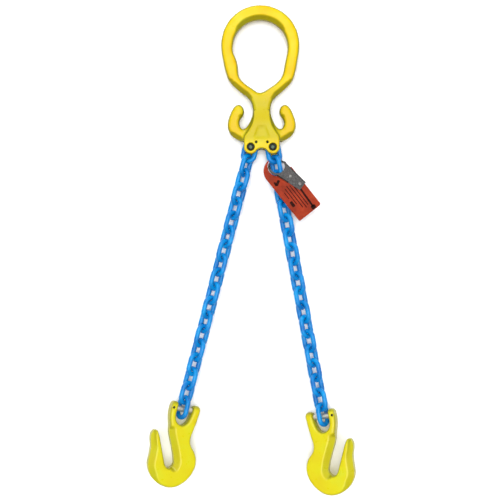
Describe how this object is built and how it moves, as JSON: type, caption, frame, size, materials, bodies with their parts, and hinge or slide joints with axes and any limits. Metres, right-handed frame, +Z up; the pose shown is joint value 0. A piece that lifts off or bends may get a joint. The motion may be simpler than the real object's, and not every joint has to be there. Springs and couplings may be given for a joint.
{
  "type": "chain sling",
  "caption": "Two-leg lifting chain sling with a grab master link, clevis hooks and an identity tag, lying flat.",
  "frame": {"origin": "on the ground under the middle of the sling as it lies flat", "axes": "+Z up from the ground, +Y along the sling towards the master link ring, +X to the right leg"},
  "size_m": [0.3292, 0.778, 0.0527],
  "materials": {
    "yellow_paint": "gloss",
    "blue_paint": "gloss",
    "black_steel": "satin",
    "zinc_plate": "satin",
    "grey_strap": "matte",
    "orange_plate": "satin"
  },
  "bodies": {
    "master_link": {"master_head": "yellow_paint", "left_head_load_pin": "black_steel", "right_head_load_pin": "black_steel", "left_head_lock_pin": "black_steel", "right_head_lock_pin": "black_steel"},
    "left_link_01": {"left_link_01": "blue_paint"},
    "left_link_02": {"left_link_02": "blue_paint"},
    "left_link_03": {"left_link_03": "blue_paint"},
    "left_link_04": {"left_link_04": "blue_paint"},
    "left_link_05": {"left_link_05": "blue_paint"},
    "left_link_06": {"left_link_06": "blue_paint"},
    "left_link_07": {"left_link_07": "blue_paint"},
    "left_link_08": {"left_link_08": "blue_paint"},
    "left_link_09": {"left_link_09": "blue_paint"},
    "left_link_10": {"left_link_10": "blue_paint"},
    "left_link_11": {"left_link_11": "blue_paint"},
    "left_link_12": {"left_link_12": "blue_paint"},
    "left_link_13": {"left_link_13": "blue_paint"},
    "left_link_14": {"left_link_14": "blue_paint"},
    "left_link_15": {"left_link_15": "blue_paint"},
    "left_link_16": {"left_link_16": "blue_paint"},
    "left_link_17": {"left_link_17": "blue_paint"},
    "left_link_18": {"left_link_18": "blue_paint"},
    "left_link_19": {"left_link_19": "blue_paint"},
    "left_hook": {"left_hook": "yellow_paint", "left_hook_load_pin": "zinc_plate", "left_hook_lock_pin": "black_steel"},
    "right_link_01": {"right_link_01": "blue_paint"},
    "right_link_02": {"right_link_02": "blue_paint"},
    "right_link_03": {"right_link_03": "blue_paint"},
    "right_link_04": {"right_link_04": "blue_paint"},
    "right_link_05": {"right_link_05": "blue_paint"},
    "right_link_06": {"right_link_06": "blue_paint"},
    "right_link_07": {"right_link_07": "blue_paint"},
    "right_link_08": {"right_link_08": "blue_paint"},
    "right_link_09": {"right_link_09": "blue_paint"},
    "right_link_10": {"right_link_10": "blue_paint"},
    "right_link_11": {"right_link_11": "blue_paint"},
    "right_link_12": {"right_link_12": "blue_paint"},
    "right_link_13": {"right_link_13": "blue_paint"},
    "right_link_14": {"right_link_14": "blue_paint"},
    "right_link_15": {"right_link_15": "blue_paint"},
    "right_link_16": {"right_link_16": "blue_paint"},
    "right_link_17": {"right_link_17": "blue_paint"},
    "right_link_18": {"right_link_18": "blue_paint"},
    "right_link_19": {"right_link_19": "blue_paint"},
    "right_hook": {"right_hook": "yellow_paint", "right_hook_load_pin": "zinc_plate", "right_hook_lock_pin": "black_steel"},
    "tag": {"tag_strap": "grey_strap", "tag_plate": "orange_plate", "tag_rivet_01": "zinc_plate", "tag_rivet_02": "zinc_plate"}
  },
  "joints": [
    {"name": "left_leg_swing", "type": "hinge", "parent": "master_link", "child": "left_link_01", "pos_m": [-0.0007, 0.1618, 0.0135], "axis": [0, 0, -1], "range_deg": [-8, 42]},
    {"name": "left_joint_02", "type": "hinge", "parent": "left_link_01", "child": "left_link_02", "pos_m": [-0.00622, 0.14061, 0.0135], "axis": [-0.9203, 0.2397, -0.309], "range_deg": [-24, 24]},
    {"name": "left_joint_03", "type": "hinge", "parent": "left_link_02", "child": "left_link_03", "pos_m": [-0.01214, 0.11787, 0.0135], "axis": [-0.5411, 0.141, 0.829], "range_deg": [-45, 10]},
    {"name": "left_joint_04", "type": "hinge", "parent": "left_link_03", "child": "left_link_04", "pos_m": [-0.01807, 0.09513, 0.01284], "axis": [0.6793, -0.1973, 0.7068], "range_deg": [-45, 45]},
    {"name": "left_joint_05", "type": "hinge", "parent": "left_link_04", "child": "left_link_05", "pos_m": [-0.02399, 0.0724, 0.01219], "axis": [0.6893, -0.1591, -0.7068], "range_deg": [-45, 45]},
    {"name": "left_joint_06", "type": "hinge", "parent": "left_link_05", "child": "left_link_06", "pos_m": [-0.02991, 0.04967, 0.01153], "axis": [-0.6793, 0.1973, -0.7068], "range_deg": [-45, 45]},
    {"name": "left_joint_07", "type": "hinge", "parent": "left_link_06", "child": "left_link_07", "pos_m": [-0.03583, 0.02694, 0.01087], "axis": [-0.6893, 0.1591, 0.7068], "range_deg": [-45, 45]},
    {"name": "left_joint_08", "type": "hinge", "parent": "left_link_07", "child": "left_link_08", "pos_m": [-0.04175, 0.0042, 0.01087], "axis": [0.6843, -0.1782, 0.7071], "range_deg": [-45, 45]},
    {"name": "left_joint_09", "type": "hinge", "parent": "left_link_08", "child": "left_link_09", "pos_m": [-0.04768, -0.01855, 0.01087], "axis": [0.6843, -0.1782, -0.7071], "range_deg": [-45, 45]},
    {"name": "left_joint_10", "type": "hinge", "parent": "left_link_09", "child": "left_link_10", "pos_m": [-0.0536, -0.04129, 0.01087], "axis": [-0.6843, 0.1782, -0.7071], "range_deg": [-45, 45]},
    {"name": "left_joint_11", "type": "hinge", "parent": "left_link_10", "child": "left_link_11", "pos_m": [-0.05952, -0.06403, 0.01087], "axis": [-0.6843, 0.1782, 0.7071], "range_deg": [-45, 45]},
    {"name": "left_joint_12", "type": "hinge", "parent": "left_link_11", "child": "left_link_12", "pos_m": [-0.06545, -0.08677, 0.01087], "axis": [0.6843, -0.1782, 0.7071], "range_deg": [-45, 45]},
    {"name": "left_joint_13", "type": "hinge", "parent": "left_link_12", "child": "left_link_13", "pos_m": [-0.07137, -0.10951, 0.01087], "axis": [0.6843, -0.1782, -0.7071], "range_deg": [-45, 45]},
    {"name": "left_joint_14", "type": "hinge", "parent": "left_link_13", "child": "left_link_14", "pos_m": [-0.0773, -0.13225, 0.01087], "axis": [-0.6843, 0.1782, -0.7071], "range_deg": [-45, 45]},
    {"name": "left_joint_15", "type": "hinge", "parent": "left_link_14", "child": "left_link_15", "pos_m": [-0.08322, -0.15499, 0.01087], "axis": [-0.6843, 0.1782, 0.7071], "range_deg": [-45, 45]},
    {"name": "left_joint_16", "type": "hinge", "parent": "left_link_15", "child": "left_link_16", "pos_m": [-0.08913, -0.17768, 0.01256], "axis": [0.697, -0.1293, 0.7053], "range_deg": [-45, 45]},
    {"name": "left_joint_17", "type": "hinge", "parent": "left_link_16", "child": "left_link_17", "pos_m": [-0.09503, -0.20036, 0.01424], "axis": [0.6715, -0.2272, -0.7053], "range_deg": [-45, 45]},
    {"name": "left_joint_18", "type": "hinge", "parent": "left_link_17", "child": "left_link_18", "pos_m": [-0.10094, -0.22304, 0.01592], "axis": [-0.697, 0.1293, -0.7053], "range_deg": [-45, 45]},
    {"name": "left_joint_19", "type": "hinge", "parent": "left_link_18", "child": "left_link_19", "pos_m": [-0.10685, -0.24572, 0.0176], "axis": [-0.6715, 0.2272, 0.7053], "range_deg": [-38, 38]},
    {"name": "left_hook_swing", "type": "hinge", "parent": "left_link_19", "child": "left_hook", "pos_m": [-0.10949, -0.25586, 0.01835], "axis": [0.8893, -0.2896, -0.354], "range_deg": [-40, 40]},
    {"name": "right_leg_swing", "type": "hinge", "parent": "master_link", "child": "right_link_01", "pos_m": [0.0345, 0.1618, 0.0135], "axis": [0, 0, 1], "range_deg": [-5, 42]},
    {"name": "right_joint_02", "type": "hinge", "parent": "right_link_01", "child": "right_link_02", "pos_m": [0.03881, 0.1389, 0.0135], "axis": [-0.9347, -0.1758, 0.309], "range_deg": [-12, 14]},
    {"name": "right_joint_03", "type": "hinge", "parent": "right_link_02", "child": "right_link_03", "pos_m": [0.04319, 0.11561, 0.0135], "axis": [-0.5496, -0.1033, -0.829], "range_deg": [-45, 0]},
    {"name": "right_joint_04", "type": "hinge", "parent": "right_link_03", "child": "right_link_04", "pos_m": [0.04756, 0.09233, 0.01284], "axis": [-0.6913, -0.1501, 0.7068], "range_deg": [-45, 0]},
    {"name": "right_joint_05", "type": "hinge", "parent": "right_link_04", "child": "right_link_05", "pos_m": [0.05194, 0.06904, 0.01218], "axis": [-0.6986, -0.1113, -0.7068], "range_deg": [-45, 0]},
    {"name": "right_joint_06", "type": "hinge", "parent": "right_link_05", "child": "right_link_06", "pos_m": [0.05632, 0.04576, 0.01151], "axis": [-0.6913, -0.1501, 0.7068], "range_deg": [-45, 0]},
    {"name": "right_joint_07", "type": "hinge", "parent": "right_link_06", "child": "right_link_07", "pos_m": [0.0607, 0.02248, 0.01085], "axis": [-0.6986, -0.1113, -0.7068], "range_deg": [-45, 45]},
    {"name": "right_joint_08", "type": "hinge", "parent": "right_link_07", "child": "right_link_08", "pos_m": [0.06508, -0.00081, 0.01085], "axis": [0.6949, 0.1307, -0.7071], "range_deg": [-45, 45]},
    {"name": "right_joint_09", "type": "hinge", "parent": "right_link_08", "child": "right_link_09", "pos_m": [0.06946, -0.02411, 0.01085], "axis": [0.6949, 0.1307, 0.7071], "range_deg": [-45, 45]},
    {"name": "right_joint_10", "type": "hinge", "parent": "right_link_09", "child": "right_link_10", "pos_m": [0.07384, -0.0474, 0.01085], "axis": [-0.6949, -0.1307, 0.7071], "range_deg": [-45, 45]},
    {"name": "right_joint_11", "type": "hinge", "parent": "right_link_10", "child": "right_link_11", "pos_m": [0.07822, -0.07069, 0.01085], "axis": [-0.6949, -0.1307, -0.7071], "range_deg": [-45, 45]},
    {"name": "right_joint_12", "type": "hinge", "parent": "right_link_11", "child": "right_link_12", "pos_m": [0.0826, -0.09398, 0.01085], "axis": [0.6949, 0.1307, -0.7071], "range_deg": [-45, 45]},
    {"name": "right_joint_13", "type": "hinge", "parent": "right_link_12", "child": "right_link_13", "pos_m": [0.08698, -0.11727, 0.01085], "axis": [0.6949, 0.1307, 0.7071], "range_deg": [-45, 45]},
    {"name": "right_joint_14", "type": "hinge", "parent": "right_link_13", "child": "right_link_14", "pos_m": [0.09136, -0.14056, 0.01085], "axis": [-0.6949, -0.1307, 0.7071], "range_deg": [-45, 45]},
    {"name": "right_joint_15", "type": "hinge", "parent": "right_link_14", "child": "right_link_15", "pos_m": [0.09574, -0.16386, 0.01085], "axis": [-0.6949, -0.1307, -0.7071], "range_deg": [-45, 45]},
    {"name": "right_joint_16", "type": "hinge", "parent": "right_link_15", "child": "right_link_16", "pos_m": [0.10011, -0.18709, 0.01255], "axis": [0.7043, 0.081, -0.7053], "range_deg": [-45, 45]},
    {"name": "right_joint_17", "type": "hinge", "parent": "right_link_16", "child": "right_link_17", "pos_m": [0.10448, -0.21032, 0.01424], "axis": [0.6856, 0.1804, 0.7053], "range_deg": [-45, 45]},
    {"name": "right_joint_18", "type": "hinge", "parent": "right_link_17", "child": "right_link_18", "pos_m": [0.10884, -0.23355, 0.01594], "axis": [-0.7043, -0.081, 0.7053], "range_deg": [-45, 45]},
    {"name": "right_joint_19", "type": "hinge", "parent": "right_link_18", "child": "right_link_19", "pos_m": [0.11321, -0.25678, 0.01763], "axis": [-0.6856, -0.1804, -0.7053], "range_deg": [-38, 38]},
    {"name": "right_hook_swing", "type": "hinge", "parent": "right_link_19", "child": "right_hook", "pos_m": [0.11519, -0.26727, 0.0184], "axis": [-0.9071, -0.2276, -0.354], "range_deg": [-40, 40]},
    {"name": "tag_swing", "type": "hinge", "parent": "right_link_02", "child": "tag", "pos_m": [0.0417, 0.1308, 0.0135], "axis": [-0.9828, -0.1848, 0], "range_deg": [0, 12]}
  ]
}
